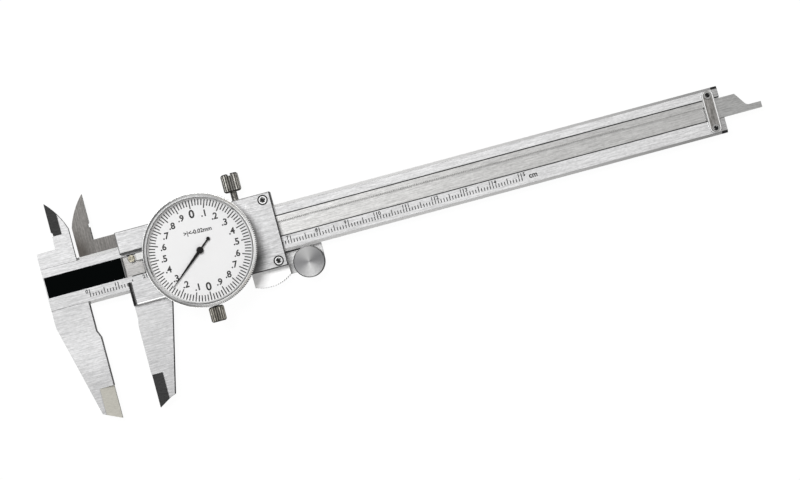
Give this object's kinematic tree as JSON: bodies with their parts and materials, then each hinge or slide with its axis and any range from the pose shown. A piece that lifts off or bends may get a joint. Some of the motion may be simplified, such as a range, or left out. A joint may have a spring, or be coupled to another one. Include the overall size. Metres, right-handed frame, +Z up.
{
  "type": "dial caliper",
  "caption": "Dial caliper with outside and inside jaws, a sliding head with a round dial and turning bezel, thumb roller, lock screw and depth rod.",
  "frame": {"origin": "under the middle of the tool's outline, on the plane that the slider's back rests on", "axes": "+X along the beam from the jaws to the depth rod's foot, +Y towards the inside jaws, +Z up through the dial"},
  "size_m": [0.248, 0.0764, 0.0146],
  "materials": {
    "beam_steel": "fine ground satin",
    "slider_steel": "satin ground and brushed along the beam",
    "strip_steel": "drawn satin strip",
    "label_black": "plain black film",
    "brass": "turned",
    "screw_steel": "turned and plated",
    "knob_nickel": "dark nickel plate over straight knurling",
    "roller_steel": "turned face with circular tool marks",
    "case_metal": "satin",
    "bezel_chrome": "satin chrome with a fine straight knurl",
    "arbor_steel": "hardened and polished",
    "dial_white": "matt white paint with black printing",
    "spacer_grey": "plain",
    "pointer_black": "satin black",
    "crystal_clear": "clear acrylic"
  },
  "bodies": {
    "beam": {"main_beam": "beam_steel", "groove_label": "label_black", "rack": "strip_steel", "rack_screw": "brass", "end_clamp_plate": "strip_steel", "end_clamp_screws": "screw_steel"},
    "slider": {"slider_frame": "slider_steel", "front_plate": "slider_steel", "front_plate_screws": "screw_steel", "gib_strip": "brass", "gib_screws": "screw_steel", "depth_rod": "strip_steel", "rod_holder": "case_metal", "rod_rivets": "screw_steel", "roller_axle": "screw_steel", "rack_wiper": "strip_steel", "dial_case": "case_metal", "case_screws": "screw_steel", "bridge_pillars": "case_metal", "movement_bridge": "case_metal", "bridge_screws": "screw_steel", "gear_bushes": "brass", "centre_bushes": "brass"},
    "thumb_roller": {"thumb_roller": "roller_steel"},
    "lock_screw": {"slider_lock_screw": "knob_nickel"},
    "bezel": {"bezel": "bezel_chrome", "dial_face": "dial_white", "spacer_ring": "spacer_grey", "crystal": "crystal_clear"},
    "bezel_clamp": {"bezel_clamp_screw": "knob_nickel"},
    "gear_arbor": {"rack_pinion": "arbor_steel", "drive_wheel": "brass", "take_up_wheel": "brass", "take_up_spring": "arbor_steel"},
    "pointer": {"centre_arbor": "arbor_steel", "pointer": "pointer_black"}
  },
  "joints": [
    {"name": "slider_travel", "type": "slide", "parent": "beam", "child": "slider", "axis": [1, 0, 0], "range_m": [-0.01325, 0.13673]},
    {"name": "gear_turn", "type": "hinge", "parent": "slider", "child": "gear_arbor", "pos_m": [-0.06247, 0.01043, 0.008], "axis": [0, 0, 1], "range_deg": [-485, 4930]},
    {"name": "pointer_turn", "type": "hinge", "parent": "slider", "child": "pointer", "pos_m": [-0.06954, 0.0093, 0.01], "axis": [0, 0, 1], "range_deg": [-24620, 2390]},
    {"name": "roller_turn", "type": "hinge", "parent": "slider", "child": "thumb_roller", "pos_m": [-0.03584, -0.00365, 0.004], "axis": [0, 0, 1], "range_deg": [-150, 1460]},
    {"name": "bezel_turn", "type": "hinge", "parent": "slider", "child": "bezel", "pos_m": [-0.06954, 0.0093, 0.012], "axis": [0, 0, 1], "continuous": true},
    {"name": "lock_screw_turn", "type": "hinge", "parent": "slider", "child": "lock_screw", "pos_m": [-0.05459, 0.02175, 0.00365], "axis": [0, 1, 0], "range_deg": [-30, 540]},
    {"name": "bezel_clamp_turn", "type": "hinge", "parent": "slider", "child": "bezel_clamp", "pos_m": [-0.06954, -0.0097, 0.0098], "axis": [0, -1, 0], "range_deg": [-30, 540]}
  ],
  "couplings": [
    {"joint": "gear_turn", "follows": "slider_travel", "rad_per_m": 628.32},
    {"joint": "pointer_turn", "follows": "slider_travel", "rad_per_m": -3141.6},
    {"joint": "roller_turn", "follows": "slider_travel", "rad_per_m": 185.19}
  ]
}
